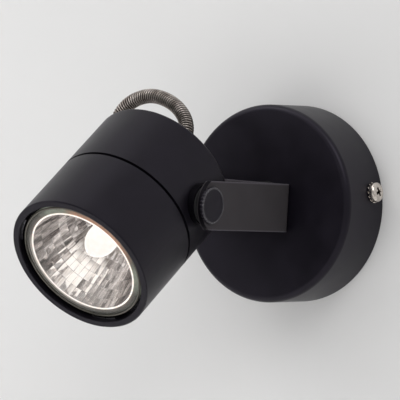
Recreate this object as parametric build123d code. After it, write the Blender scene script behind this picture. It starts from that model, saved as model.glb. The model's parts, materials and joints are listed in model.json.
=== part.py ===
from build123d import *
from math import cos, pi, radians, sin, sqrt, tan
import os

# Pivoting spotlight wall light. Millimetres. X runs along the wall, +Y into the wall, +Z up.
# The origin is the middle of the wall face. The lamp points to -Y and is tilted down at rest.

# ---- driving sizes ----
cup_diameter = 75.0
cup_depth = 23.5
cup_wall = 1.2
cup_edge_round = 2.2
cup_screw_height = 6.4      # from the wall to the middle of a cup screw
cup_screw_turn = 10.4       # degrees that the wall bracket is turned from level

plate_thickness = 1.5       # wall bracket sheet
plate_width = 22.0
tab_depth = 11.0
fixing_pcd = 50.0
fixing_hole = 5.0
lug_length = 14.0
lug_width = 16.0

cable_hole = 7.0
grommet_wall = 1.5
grommet_lip = 1.5
grommet_round = 0.5

screw_thread = 4.0
screw_head = 7.2
screw_head_height = 2.2
screw_head_round = 1.2
screw_length = 7.0
cross_length = 4.0
cross_width = 0.9
cross_depth = 1.2
lock_washer_diameter = 9.2
lock_washer_thickness = 0.7
lock_washer_teeth = 12
lock_washer_notch = 0.9

arm_width = 18.0
arm_thickness = 2.0
arm_bend_round = 0.6
arm_edge_round = 0.35
arm_side = 11.75            # from the swivel axis to the outer face of the side leg
arm_tail = 21.5             # from the swivel axis to the middle of the foot's round end
pivot_reach = 52.4          # from the cup's front to the tilt axis

nipple_diameter = 10.0
nipple_bore = 4.4
nipple_round = 0.5
nut_across_flats = 14.0
nut_height = 3.5
nut_chamfer = 0.7
nut_chamfer_depth = 0.5
foot_washer_diameter = 17.0
foot_washer_thickness = 0.5
rear_washer_diameter = 18.0
rear_washer_thickness = 1.0
spring_washer_height = 1.4
spring_washer_sheet = 0.6
spring_washer_diameter = 16.0
nipple_end = 2.0            # nipple past each nut
hose_grip = 4.0             # hose inside the nipple and the bush

head_front = 41.1           # from the tilt axis to the front edge, along the beam
head_wall = 1.3
head_edge_round = 1.2
head_side_gap = 2.6         # between the head's side and the arm
head_tilt = 36.0            # degrees below level at rest
groove_front = 11.6         # front side of the groove between shell and ring
groove_width = 1.2
ring_wall = 2.6
ring_edge_round = 0.5
spigot_wall = 1.4
spigot_length = 5.2
seat_depth = 1.6
seat_width = 2.1
lug_turn = 20.0             # bayonet twist, degrees
lug_arc = 14.0
lug_play = 1.0              # degrees on each side of a lug
lug_rise = 0.6
lug_height = 1.8
vent_count = 8
vent_width = 2.6
vent_arc = 22.0
vent_circle = 42.0

lamp_diameter = 50.0
lamp_length = 45.0
lamp_setback = 0.8          # lamp's face behind the ring's front edge
lamp_rim = 4.2
lamp_glass_thickness = 1.2
lamp_glass_ledge = 1.2
lamp_glass_round = 0.4
lamp_wall = 1.5
lamp_neck_length = 10.0
lamp_neck = 15.0
bowl_bulge_out = 0.66       # where the middle of the bowl's side lies, as shares of its spread
bowl_bulge_up = 0.42        # and of its height
pin_spacing = 5.3
pin_diameter = 1.5
pin_length = 7.6
capsule_diameter = 10.0
capsule_length = 34.5
capsule_dome = 0.8          # share of the capsule's radius that is rounded
contact_diameter = 3.1
contact_length = 8.2
contact_setback = 0.5
rim_spring_count = 3
rim_spring_sheet = 0.45
rim_spring_width = 3.2
rim_spring_arc = 24.0
rim_spring_turn = 30.0

holder_diameter = 17.0
holder_height = 11.4
holder_round = 0.8
holder_sheet = 0.6
holder_strip = 14.0
holder_tab_height = 6.0
lead_socket = 1.5
holder_span = 34.0
rivet_diameter = 3.0
rivet_head = 5.0
rivet_head_height = 1.0
rivet_head_round = 0.8

bush_diameter = 10.4
bush_length = 6.0
bush_waist_diameter = 9.0
bush_lip = 0.5
bush_lip_width = 1.0
bush_round = 0.6

saddle_diameter = 15.0
tilt_washer_thickness = 0.5
tilt_washer_diameter = 14.0
stud_diameter = 5.0
stud_end = 1.0              # stud past its nut
knob_diameter = 14.0
knob_height = 1.6
knob_cap = 1.0
knob_round = 0.6
knob_roof = 0.5             # left over the stud's end
knob_skirt_inset = 0.5
knob_flutes = 18
flute_diameter = 1.4
pivot_nut_flats = 9.0
pivot_nut_height = 4.5

hose_diameter = 5.7
hose_root = 4.9
hose_bore = 4.0
hose_ribs = 90
rib_crest = 0.36            # share of the pitch that a rib's crest takes
rib_foot = 0.64             # share of the pitch that a rib takes at its root
lead_diameter = 3.2
core_diameter = 1.3
sheath_drop = 6.0           # from the swivel axis to where the cores leave the sheath
core_spread = 1.1           # straight run of a core before and after it spreads
core_grip = 4.0             # core inside a clamp
core_bend = 0.6

block_pitch = 7.5
block_length = 13.0         # along the wires
block_height = 9.5
block_floor = 3.0
block_roof = 1.0
chimney_diameter = 5.1
clamp_diameter = 4.2
clamp_bore = 2.6
clamp_setback = 0.5         # clamp behind each face of the block
clamp_screw = 2.5
clamp_screw_setback = 1.5
block_screw_head = 4.2
slot_width = 0.5
slot_depth = 1.2

# Corners of the hose's route between its two straight ends, chosen by hand.
hose_points = [
    (-6.5, -45.5, 0.0),
    (-18.5, -46.5, 0.0),
    (-33.0, -45.0, 1.0),
    (-46.5, -42.5, 5.0),
    (-56.5, -40.5, 13.5),
    (-61.5, -39.5, 25.0),
    (-57.0, -39.0, 34.0),
    (-45.5, -39.0, 38.7),
    (-32.5, -40.5, 35.8),
    (-23.5, -43.5, 28.5),
]
hose_first_bend = 40.0      # from the wall, on the nipple's axis
hose_last_bend = 33.0       # from the tilt axis, on the bush's axis

# ---- clearances ----
running_fit = 0.05          # a shaft that turns in its hole, a knob on its seat
loose_fit = 0.3             # parts that move past each other
seat_fit = 0.1              # parts that are pushed together
lamp_gap = 1.0              # round the lamp's rim, room for the springs
cut_past = 1.0              # how far a cut runs past a face

# ---- derived places ----
cup_radius = cup_diameter / 2
lamp_radius = lamp_diameter / 2
ring_bore = lamp_radius + lamp_gap
head_radius = ring_bore + ring_wall
head_diameter = 2 * head_radius
head_bore = head_radius - head_wall
foot_back = cup_depth + foot_washer_thickness
foot_front = foot_back + arm_thickness
nipple_front = foot_front + nut_height + nipple_end
rear_stack = rear_washer_thickness + spring_washer_height
nipple_back = cup_depth - cup_wall - rear_stack - nut_height - nipple_end
pivot_x = arm_side - arm_thickness - head_side_gap - head_radius
pivot_y = -(cup_depth + pivot_reach)
lamp_front = head_front - lamp_setback
lamp_back = lamp_front - lamp_length
holder_back = lamp_back - holder_height
rear_inside = holder_back - holder_sheet
head_rear = head_wall - rear_inside
spigot_radius = head_bore - running_fit
seat_front = lamp_front - lamp_rim
screw_seat = cup_radius + lock_washer_thickness
spigot_back = groove_front - spigot_length
bowl_mouth = ring_bore - seat_width - loose_fit
bowl_back = lamp_back + lamp_neck_length
glass_radius = lamp_radius - lamp_glass_ledge
contact_radius = contact_diameter / 2
rivet_reach = holder_span / 2 - rivet_diameter
bush_waist = bush_waist_diameter / 2
clamp_height = plate_thickness + block_floor + clamp_diameter / 2
block_top = plate_thickness + block_floor + clamp_diameter + block_roof

beam = Vector(0, -cos(radians(head_tilt)), -sin(radians(head_tilt)))
pivot = Vector(pivot_x, pivot_y, 0)
wall_frame = Plane(origin=(0, 0, 0), x_dir=(1, 0, 0), z_dir=(0, -1, 0))
turn = radians(cup_screw_turn)
base_frame = Plane(origin=(0, 0, 0), x_dir=(cos(turn), 0, sin(turn)), z_dir=(0, -1, 0))
head_frame = Plane(origin=pivot, x_dir=(1, 0, 0), z_dir=beam)
tilt_frame = Plane(origin=(0, pivot_y, 0), x_dir=(0, 1, 0), z_dir=(1, 0, 0))

parts = {}


def turned(corners, rounds=()):
    """Solid of revolution about Z from (radius, height) corners; rounds are (corner number, radius)."""
    face = make_face(Polyline(*corners, close=True))
    for number, radius in rounds:
        corner = Vector(*corners[number])
        nearest = min(face.vertices(), key=lambda v: (Vector(v) - corner).length)
        face = fillet(nearest, radius)
    return revolve(Plane.XZ * face, Axis.Z)


def tube(outer, inner, low, high):
    """Round tube about Z between two heights."""
    return turned([(inner, low), (outer, low), (outer, high), (inner, high)])


def rod(radius, low, high):
    """Round rod about Z between two heights."""
    return Pos(0, 0, low) * Cylinder(radius, high - low, align=(Align.CENTER, Align.CENTER, Align.MIN))


def hexagon(across_flats, low, high):
    """Hexagonal bar about Z between two heights."""
    return Pos(0, 0, low) * extrude(RegularPolygon(across_flats / 2, 6, major_radius=False), high - low)


def sector(outer, inner, low, high, start, span):
    """Piece of a tube about Z between two angles in degrees."""
    face = make_face(Polyline((inner, low), (outer, low), (outer, high), (inner, high), close=True))
    return Rot(0, 0, start) * revolve(Plane.XZ * face, Axis.Z, span)


def around(count, shape, start=0.0):
    """Copies of a shape spread evenly about Z."""
    return [Rot(0, 0, start + 360 * i / count) * shape for i in range(count)]


def add(name, frame, *shapes):
    """Keeps a node's solids, placed in its frame."""
    solids = [solid for shape in shapes for solid in (frame * shape).solids()]
    parts[name] = Compound(solids)


# ---- base: everything that stays on the wall ----
def wall_cup():
    """Deep-drawn cover with the swivel hole in front and a screw hole on each side."""
    inside = cup_radius - cup_wall
    hole = nipple_diameter / 2 + running_fit
    shell = turned(
        [(inside, 0), (cup_radius, 0), (cup_radius, cup_depth), (hole, cup_depth),
         (hole, cup_depth - cup_wall), (inside, cup_depth - cup_wall)],
        [(2, cup_edge_round), (5, cup_edge_round - cup_wall / 2)])
    through = Pos(0, 0, cup_screw_height) * Rot(0, 90, 0) * Cylinder(
        screw_thread / 2 + loose_fit, 3 * cup_radius)
    return shell - through


def wall_bracket():
    """Sheet strip with a bent, tapped tab at each end, a lug for the terminal block and its holes."""
    reach = cup_radius - cup_wall - loose_fit
    strip = Pos(0, 0, plate_thickness / 2) * Box(2 * reach, plate_width, plate_thickness)
    strip = strip & rod(reach, 0, plate_thickness)
    lug_end = -(plate_width / 2 + lug_length)
    lug = Pos(0, lug_end / 2, plate_thickness / 2) * Box(lug_width, -lug_end, plate_thickness)
    tab_middle = sqrt(reach ** 2 - (plate_width / 4) ** 2) - plate_thickness / 2
    tab = Pos(tab_middle, 0, tab_depth / 2) * Box(plate_thickness, plate_width / 2, tab_depth)
    body = strip + lug + tab + mirror(tab, Plane.YZ)
    body -= rod(cable_hole / 2 + grommet_wall, -cut_past, tab_depth)
    for side in (-1, 1):
        body -= Pos(side * fixing_pcd / 2, 0, 0) * rod(fixing_hole / 2, -cut_past, tab_depth)
    body -= Pos(0, 0, cup_screw_height) * Rot(0, 90, 0) * Cylinder(
        screw_thread / 2 + running_fit, 3 * cup_radius)
    body -= Pos(0, block_middle(), 0) * rod(clamp_screw / 2 + running_fit, -cut_past, tab_depth)
    return body


def block_middle():
    """Middle of the terminal block below the strip."""
    return -(plate_width / 2 + lug_length / 2)


def cable_grommet():
    """Rubber ring that guards the supply cable where it comes through the bracket."""
    hole = cable_hole / 2
    waist = hole + grommet_wall
    lip = waist + grommet_lip
    front = plate_thickness + grommet_wall
    return turned([(hole, 0), (waist, 0), (waist, plate_thickness), (lip, plate_thickness),
                   (lip, front), (hole, front)], [(4, grommet_round)])


def cup_screw():
    """Cross-head pan screw along local X, its head outside the cup."""
    shank = screw_thread / 2
    top = screw_seat + screw_head_height
    tip = screw_seat - screw_length
    screw = turned([(0, tip), (shank, tip), (shank, screw_seat), (screw_head / 2, screw_seat),
                    (screw_head / 2, top), (0, top)], [(4, screw_head_round)])
    for length, width in ((cross_length, cross_width), (cross_width, cross_length)):
        screw -= Pos(0, 0, top) * Box(length, width, 2 * cross_depth)
    return Pos(0, 0, cup_screw_height) * Rot(0, 90, 0) * screw


def lock_washer():
    """Toothed washer between a cup screw's head and the cup."""
    ring = tube(lock_washer_diameter / 2, screw_thread / 2 + seat_fit, cup_radius, screw_seat)
    notch = Pos(lock_washer_diameter / 2, 0, screw_seat) * Box(
        lock_washer_notch, lock_washer_notch, 4 * lock_washer_thickness)
    for cut in around(lock_washer_teeth, notch):
        ring -= cut
    return Pos(0, 0, cup_screw_height) * Rot(0, 90, 0) * ring


def terminal_block():
    """Two-pole block with a round chimney over each clamp screw."""
    low = plate_thickness
    high = low + block_height
    body = Pos(0, 0, low) * Box(2 * block_pitch, block_length, block_top - low,
                                align=(Align.CENTER, Align.CENTER, Align.MIN))
    for x, y in clamp_screw_places():
        body += Pos(x, y, 0) * rod(chimney_diameter / 2, low, high)
    for x in (-block_pitch / 2, block_pitch / 2):
        body -= Pos(x, 0, clamp_height) * Rot(90, 0, 0) * Cylinder(clamp_diameter / 2, 2 * block_length)
    for x, y in clamp_screw_places():
        body -= Pos(x, y, 0) * rod(clamp_screw / 2 + loose_fit, clamp_height, 2 * high)
    body -= rod(clamp_screw / 2 + seat_fit, 0, high)
    return Pos(0, block_middle(), 0) * body


def clamp_screw_places():
    """Where the clamp screws stand, from the middle of the block."""
    return [(x, y) for x in (-block_pitch / 2, block_pitch / 2)
            for y in (-block_length / 4, block_length / 4)]


def terminal_clamps():
    """Brass tubes that take the wires, each tapped for two screws."""
    clamps = []
    for x in (-block_pitch / 2, block_pitch / 2):
        clamp = Rot(90, 0, 0) * (Cylinder(clamp_diameter / 2 - running_fit, block_length - 2 * clamp_setback)
                                 - Cylinder(clamp_bore / 2, block_length))
        clamp = Pos(x, 0, clamp_height) * clamp
        for y in (-block_length / 4, block_length / 4):
            clamp -= Pos(x, y, 0) * rod(clamp_screw / 2, clamp_height, block_top)
        clamps.append(Pos(0, block_middle(), 0) * clamp)
    return clamps


def slotted_screw(length, head):
    """Small slotted screw about Z, its head's top at the origin."""
    head_depth = head / 3
    screw = turned([(0, -length), (clamp_screw / 2, -length), (clamp_screw / 2, -head_depth),
                    (head / 2, -head_depth), (head / 2, 0), (0, 0)])
    return screw - Box(head, slot_width, head_depth)


def terminal_screws():
    """Four grub screws above the clamps."""
    top = plate_thickness + block_height - clamp_screw_setback
    bottom = clamp_height + clamp_bore / 2
    screws = []
    for x, y in clamp_screw_places():
        screw = rod(clamp_screw / 2 - running_fit, bottom, top)
        screw -= Pos(0, 0, top) * Box(clamp_screw, slot_width, slot_depth)
        screws.append(Pos(x, block_middle() + y, 0) * screw)
    return screws


def terminal_fixing_screw():
    """Screw through the middle of the block into the bracket's lug."""
    top = block_top + block_screw_head / 3
    return Pos(0, block_middle(), top) * slotted_screw(top - loose_fit, block_screw_head)


def supply_lead():
    """Sheathed lead from the back of the nipple to the terminal block."""
    path = FilletPolyline((0, 0, nipple_back), (0, 0, clamp_height), (0, -sheath_drop, clamp_height),
                          radius=bend_radius(nipple_back - clamp_height, radians(45)))
    return sweep(Plane(origin=(0, 0, nipple_back), z_dir=(0, 0, -1)) * Circle(lead_diameter / 2), path)


def lead_cores():
    """Two insulated cores that spread from the sheath into the clamps."""
    clamp_mouth = block_middle() + block_length / 2
    cores = []
    for side in (-1, 1):
        near = side * lead_diameter / 4
        far = side * block_pitch / 2
        corners = [(near, -sheath_drop), (near, -sheath_drop - core_spread),
                   (far, clamp_mouth + core_spread), (far, clamp_mouth - core_grip)]
        path = FilletPolyline(*[(x, y, clamp_height) for x, y in corners], radius=core_bend)
        start = Plane(origin=path @ 0, z_dir=(0, -1, 0))
        cores.append(sweep(start * Circle(core_diameter / 2), path))
    return cores


# ---- arm: everything that swivels on the cup ----
def bracket_arm():
    """Flat bar bent once: the foot lies on the cup, the side leg carries the head."""
    pivot_height = cup_depth + pivot_reach
    inner_side = arm_side - arm_thickness
    bar = make_face(Polyline((-arm_tail, foot_back), (arm_side, foot_back), (arm_side, pivot_height),
                             (inner_side, pivot_height), (inner_side, foot_front),
                             (-arm_tail, foot_front), close=True))
    for corner, radius in (((arm_side, foot_back), arm_bend_round + arm_thickness),
                           ((inner_side, foot_front), arm_bend_round)):
        nearest = min(bar.vertices(), key=lambda v: (Vector(v) - Vector(*corner)).length)
        bar = fillet(nearest, radius)
    arm = extrude(Plane.XZ * bar, arm_width / 2, both=True)
    arm += Pos(-arm_tail, 0, 0) * rod(arm_width / 2, foot_back, foot_front)
    leg_end = Pos(0, 0, pivot_height) * Rot(0, 90, 0)
    arm += leg_end * rod(arm_width / 2, inner_side, arm_side)
    face = arm.faces().filter_by(GeomType.PLANE).sort_by(Axis.X)[-1]
    arm = fillet([e for e in face.outer_wire().edges() if abs(e.center().Z - foot_back) > arm_width / 2],
                 arm_edge_round)
    arm -= rod(nipple_diameter / 2 + seat_fit, 0, pivot_height)
    arm -= leg_end * rod(stud_diameter / 2 + running_fit, 0, 2 * arm_side)
    return arm


def swivel_nipple():
    """Hollow threaded tube: it holds foot and washers together and carries the lead."""
    radius = nipple_diameter / 2
    socket = hose_diameter / 2 + seat_fit
    step = nipple_front - hose_grip
    return turned([(nipple_bore / 2, nipple_back), (radius, nipple_back), (radius, nipple_front),
                   (socket, nipple_front), (socket, step), (nipple_bore / 2, step)],
                  [(1, nipple_round), (2, nipple_round)])


def nipple_nut(low):
    """Thin hexagonal nut on the nipple, chamfered on both faces."""
    nut = hexagon(nut_across_flats, low, low + nut_height)
    corner = nut_across_flats / 2 / cos(radians(30))
    high = low + nut_height
    nut = nut & turned([(0, low), (corner - nut_chamfer, low), (corner, low + nut_chamfer_depth),
                        (corner, high - nut_chamfer_depth), (corner - nut_chamfer, high), (0, high)])
    return nut - rod(nipple_diameter / 2 + running_fit, 0, nipple_front)


def flat_ring(outer, low, high):
    """Washer round the nipple."""
    return tube(outer / 2, nipple_diameter / 2 + seat_fit, low, high)


def spring_washer():
    """Conical washer that keeps the swivel stiff."""
    inner = nipple_diameter / 2 + seat_fit
    outer = spring_washer_diameter / 2
    high = cup_depth - cup_wall - rear_washer_thickness
    low = high - spring_washer_height
    return turned([(inner, low), (inner, low + spring_washer_sheet), (outer, high),
                   (outer, high - spring_washer_sheet)])


def bend_radius(run, half_turn):
    """Radius of a bend that takes nine tenths of half of the shorter run beside it."""
    return 0.9 * run / 2 / tan(half_turn)


def hose_path():
    """Middle line of the hose, from inside the nipple round to inside the bush."""
    corners = [Vector(0, -(nipple_front - hose_grip), 0), Vector(0, -hose_first_bend, 0)]
    corners += [Vector(*point) for point in hose_points]
    corners += [pivot - beam * hose_last_bend, pivot - beam * (head_rear + bush_length - hose_grip)]
    radii = []
    for before, here, after in zip(corners, corners[1:], corners[2:]):
        run = min((here - before).length, (after - here).length)
        half_turn = radians((here - before).get_angle(after - here) / 2)
        radii.append(bend_radius(run, half_turn))
    return radii, FilletPolyline(*corners, radius=radii)


def ribbed_hose(path):
    """Metal hose: one ruled loft through four circles a rib, bored right through."""
    plain = hose_grip + hose_diameter / 2
    pitch = (path.length - 2 * plain) / hose_ribs
    root, crest = hose_root / 2, hose_diameter / 2
    rib = [(-rib_foot, root), (-rib_crest, crest), (rib_crest, crest), (rib_foot, root)]
    places = [(0, [(0, crest)]), (plain - pitch / 2, [(0, crest)])]
    places += [(plain + (i + 0.5) * pitch, rib) for i in range(hose_ribs)]
    places += [(path.length - plain + pitch / 2, [(0, crest)]), (path.length, [(0, crest)])]
    sections = []
    x_axis = Vector(1, 0, 0)
    for distance, circles in places:
        middle = path.position_at(distance, position_mode=PositionMode.LENGTH)
        along = path.tangent_at(distance, position_mode=PositionMode.LENGTH)
        x_axis = (x_axis - along * x_axis.dot(along)).normalized()
        for share, radius in circles:
            place = Plane(origin=middle + along * (share * pitch / 2), x_dir=x_axis, z_dir=along)
            sections.append(place * Circle(radius))
    skin = loft(sections, ruled=True)
    start = Plane(origin=path @ 0, z_dir=path % 0)
    return skin - sweep(start * Circle(hose_bore / 2), path)


def lamp_lead(path):
    """Sheathed lead from the back of the nipple through the hose to the lamp holder."""
    start = Vector(0, -nipple_back, 0)
    end = pivot + beam * (holder_back + lead_socket)
    straight_start = sweep(Plane(origin=start, z_dir=(0, -1, 0)) * Circle(lead_diameter / 2),
                           Line(start, path @ 0))
    middle = sweep(Plane(origin=path @ 0, z_dir=path % 0) * Circle(lead_diameter / 2), path)
    straight_end = sweep(Plane(origin=path @ 1, z_dir=path % 1) * Circle(lead_diameter / 2),
                         Line(path @ 1, end))
    return straight_start + middle + straight_end


# ---- head: everything that tilts on the arm ----
def rear_shell():
    """Round can with a hole for the hose bush, a pivot hole, vents and bayonet slots."""
    groove_back = groove_front - groove_width
    hole = bush_waist + seat_fit
    shell = turned(
        [(hole, -head_rear), (head_radius, -head_rear), (head_radius, groove_back),
         (head_bore, groove_back), (head_bore, rear_inside), (hole, rear_inside)],
        [(1, head_edge_round), (4, head_edge_round / 2)])
    for lug in (90, 270):
        start = lug - lug_arc / 2 - lug_play
        width = lug_arc + 2 * lug_play
        shell -= sector(head_bore + lug_rise + seat_fit, head_bore - cut_past, spigot_back - seat_fit,
                        spigot_back + lug_height + seat_fit, start, width + lug_turn)
        shell -= sector(head_bore + lug_rise + seat_fit, head_bore - cut_past, spigot_back - seat_fit,
                        head_front, start + lug_turn, width)
    vent = sector((vent_circle + vent_width) / 2, (vent_circle - vent_width) / 2,
                  -head_rear - cut_past, rear_inside + cut_past, -vent_arc / 2, vent_arc)
    for cut in around(vent_count, vent, 180 / vent_count):
        shell -= cut
    for x in (-rivet_reach, rivet_reach):
        shell -= Pos(x, 0, 0) * rod(rivet_diameter / 2 + running_fit,
                                    -head_rear - cut_past, rear_inside + cut_past)
    return shell - Rot(0, 90, 0) * rod(stud_diameter / 2 + loose_fit, 0, head_diameter)


def front_ring():
    """Front sleeve: thick lip, lamp seat and a thin spigot with two bayonet lugs."""
    spigot_bore = spigot_radius - spigot_wall
    seat = ring_bore - seat_width
    ring = turned(
        [(spigot_bore, spigot_back), (spigot_radius, spigot_back), (spigot_radius, groove_front),
         (head_radius, groove_front), (head_radius, head_front), (ring_bore, head_front),
         (ring_bore, seat_front), (seat, seat_front), (seat, seat_front - seat_depth),
         (spigot_bore, seat_front - seat_depth - seat_width)],
        [(4, ring_edge_round), (5, ring_edge_round / 2)])
    for lug in (90, 270):
        ring += sector(head_bore + lug_rise, spigot_radius - spigot_wall / 2, spigot_back,
                       spigot_back + lug_height, lug - lug_arc / 2, lug_arc)
    return ring


def rim_springs():
    """Leaf springs in the ring's bore, beside the lamp's rim."""
    outer = ring_bore - running_fit
    spring = sector(outer, outer - rim_spring_sheet, seat_front, seat_front + rim_spring_width,
                    -rim_spring_arc / 2, rim_spring_arc)
    return around(rim_spring_count, spring, rim_spring_turn)


def bowl_profile(inset):
    """Side curve of the reflector bowl, moved inwards by inset: neck end, middle, mouth end."""
    neck = lamp_neck / 2 - inset
    mouth = bowl_mouth - inset
    middle = (neck + bowl_bulge_out * (mouth - neck), bowl_back + bowl_bulge_up * (seat_front - bowl_back))
    return [(neck, bowl_back), middle, (mouth, seat_front)]


def lamp_reflector():
    """Glass bowl with a straight rim, a ledge for the cover glass and a hollow neck."""
    outer = bowl_profile(0)
    inner = bowl_profile(lamp_wall)
    ledge = lamp_front - lamp_glass_thickness
    hollow = capsule_diameter / 2 + loose_fit
    edges = [
        Polyline((hollow, bowl_back), (hollow, lamp_back + lamp_wall), (0, lamp_back + lamp_wall),
                 (0, lamp_back), (lamp_neck / 2, lamp_back), outer[0]),
        ThreePointArc(*outer),
        Polyline(outer[2], (lamp_radius, seat_front), (lamp_radius, lamp_front),
                 (glass_radius + seat_fit, lamp_front), (glass_radius + seat_fit, ledge),
                 (inner[2][0], ledge), inner[2]),
        ThreePointArc(*reversed(inner)),
        Line(inner[0], (hollow, bowl_back)),
    ]
    return revolve(Plane.XZ * make_face(edges), Axis.Z)


def lamp_glass():
    """Cover glass in the ledge of the reflector's rim."""
    low = lamp_front - lamp_glass_thickness
    return turned([(0, low), (glass_radius, low), (glass_radius, lamp_front), (0, lamp_front)],
                  [(2, lamp_glass_round)])


def lamp_capsule():
    """Quartz capsule that stands in the neck and ends in a dome."""
    low = lamp_back + lamp_wall
    radius = capsule_diameter / 2
    top = low + capsule_length
    return turned([(0, low), (radius, low), (radius, top), (0, top)], [(2, radius * capsule_dome)])


def lamp_pins():
    """Two contact pins behind the lamp."""
    return [Pos(x, 0, 0) * rod(pin_diameter / 2, lamp_back - pin_length, lamp_back)
            for x in (-pin_spacing / 2, pin_spacing / 2)]


def lamp_holder():
    """Ceramic holder with a bore for each contact and a socket for the lead."""
    holder = turned([(0, holder_back), (holder_diameter / 2, holder_back),
                     (holder_diameter / 2, lamp_back), (0, lamp_back)], [(2, holder_round)])
    for x in (-pin_spacing / 2, pin_spacing / 2):
        holder -= Pos(x, 0, 0) * rod(contact_radius, lamp_back - contact_length, lamp_back + cut_past)
    return holder - rod(lead_diameter / 2 + running_fit, holder_back - cut_past, holder_back + lead_socket)


def holder_contacts():
    """Sprung sleeves that grip the lamp's pins."""
    sleeve = tube(contact_radius - running_fit, pin_diameter / 2 + running_fit,
                  lamp_back - contact_length, lamp_back - contact_setback)
    return [Pos(x, 0, 0) * sleeve for x in (-pin_spacing / 2, pin_spacing / 2)]


def holder_bracket():
    """Thin strip on the rear wall with two tabs that hold the lamp holder."""
    strip = Pos(0, 0, rear_inside + holder_sheet / 2) * Box(holder_span, holder_strip, holder_sheet)
    tab_place = (holder_diameter + holder_sheet) / 2 + running_fit
    for side in (-1, 1):
        strip += Pos(side * tab_place, 0, rear_inside + holder_tab_height / 2) * Box(
            holder_sheet, holder_strip / 2, holder_tab_height)
        strip -= Pos(side * rivet_reach, 0, 0) * rod(rivet_diameter / 2 + running_fit, -head_rear, 0)
    return strip - rod(bush_waist + bush_lip_width + loose_fit, -head_rear, 0)


def holder_rivets():
    """Two rivets through the rear wall, their domed heads outside."""
    front = rear_inside + holder_sheet
    rivet = turned([(0, -head_rear - rivet_head_height), (rivet_head / 2, -head_rear - rivet_head_height),
                    (rivet_head / 2, -head_rear), (rivet_diameter / 2, -head_rear),
                    (rivet_diameter / 2, front), (rivet_head / 2, front),
                    (rivet_head / 2, front + rivet_head_height / 2), (0, front + rivet_head_height / 2)],
                   [(1, rivet_head_round)])
    return [Pos(x, 0, 0) * rivet for x in (-rivet_reach, rivet_reach)]


def hose_bush():
    """Bush in the rear wall with a socket for the hose, its inner lip rolled over."""
    outer = bush_diameter / 2
    socket = hose_diameter / 2 + seat_fit
    bore = lead_diameter / 2 + loose_fit
    end = -head_rear - bush_length
    return turned([(socket, end), (outer, end), (outer, -head_rear), (bush_waist, -head_rear),
                   (bush_waist, rear_inside), (bush_waist + bush_lip_width, rear_inside),
                   (bush_waist + bush_lip_width, rear_inside + bush_lip), (bore, rear_inside + bush_lip),
                   (bore, end + hose_grip), (socket, end + hose_grip)], [(1, bush_round)])


def pivot_saddle():
    """Spacer that is flat to the arm and hollowed to the side of the head."""
    face = arm_side - arm_thickness - tilt_washer_thickness
    block = tilt_frame * rod(saddle_diameter / 2, pivot_x + head_bore, face)
    block -= head_frame * Cylinder(head_radius, 2 * head_diameter)
    return block - tilt_frame * rod(stud_diameter / 2 + loose_fit, pivot_x, arm_side)


def tilt_washer():
    """Fibre washer between the saddle and the arm."""
    face = arm_side - arm_thickness
    return tube(tilt_washer_diameter / 2, stud_diameter / 2 + loose_fit, face - tilt_washer_thickness, face)


def pivot_nut():
    """Hexagonal nut inside the head, its outer face curved to the wall."""
    inner = pivot_x + head_bore - pivot_nut_height
    nut = tilt_frame * hexagon(pivot_nut_flats, inner, pivot_x + head_radius)
    nut = nut & (head_frame * Cylinder(head_bore, 2 * head_diameter))
    return nut - tilt_frame * rod(stud_diameter / 2 + running_fit, inner - cut_past, arm_side)


def pivot_knob():
    """Low knob: smooth round cap over a fluted skirt, screwed on the stud's end."""
    cap = knob_diameter / 2
    skirt = cap - knob_skirt_inset
    base = arm_side + running_fit
    top = base + knob_height
    knob = turned([(0, base), (skirt, base), (skirt, top - knob_cap), (cap, top - knob_cap),
                   (cap, top), (0, top)], [(4, knob_round)])
    flute = Pos(skirt + flute_diameter / 4, 0, base) * Cylinder(
        flute_diameter / 2, 2 * (knob_height - knob_cap))
    for cut in around(knob_flutes, flute):
        knob -= cut
    return knob - rod(stud_diameter / 2 + running_fit, base - cut_past, top - knob_roof)


def pivot_stud():
    """Stud from the nut inside the head, through saddle, washer and arm, into the knob."""
    nut_inside = pivot_x + head_bore - pivot_nut_height
    return rod(stud_diameter / 2, nut_inside - stud_end, arm_side + knob_height - knob_roof)


radii, hose_line = hose_path()

add("wall_cup", base_frame, wall_cup())
add("wall_bracket", base_frame, wall_bracket())
add("cable_grommet", base_frame, cable_grommet())
add("cup_screws", base_frame, cup_screw(), Rot(0, 0, 180) * cup_screw())
add("cup_screw_washers", base_frame, lock_washer(), Rot(0, 0, 180) * lock_washer())
add("terminal_block", base_frame, terminal_block())
add("terminal_clamps", base_frame, *terminal_clamps())
add("terminal_screws", base_frame, *terminal_screws())
add("terminal_fixing_screw", base_frame, terminal_fixing_screw())
add("supply_lead", base_frame, supply_lead())
add("lead_cores", base_frame, *lead_cores())

rear_nut_low = nipple_back + nipple_end
add("bracket_arm", wall_frame, bracket_arm())
add("swivel_nipple", wall_frame, swivel_nipple())
add("front_nut", wall_frame, nipple_nut(foot_front))
add("rear_nut", wall_frame, nipple_nut(rear_nut_low))
add("foot_washer", wall_frame, flat_ring(foot_washer_diameter, cup_depth, foot_back))
add("rear_washer", wall_frame, flat_ring(rear_washer_diameter, cup_depth - cup_wall - rear_washer_thickness,
                                         cup_depth - cup_wall))
add("spring_washer", wall_frame, spring_washer())
add("tilt_washer", tilt_frame, tilt_washer())
add("hose", Location(), ribbed_hose(hose_line))
add("lamp_lead", Location(), lamp_lead(hose_line))

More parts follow.
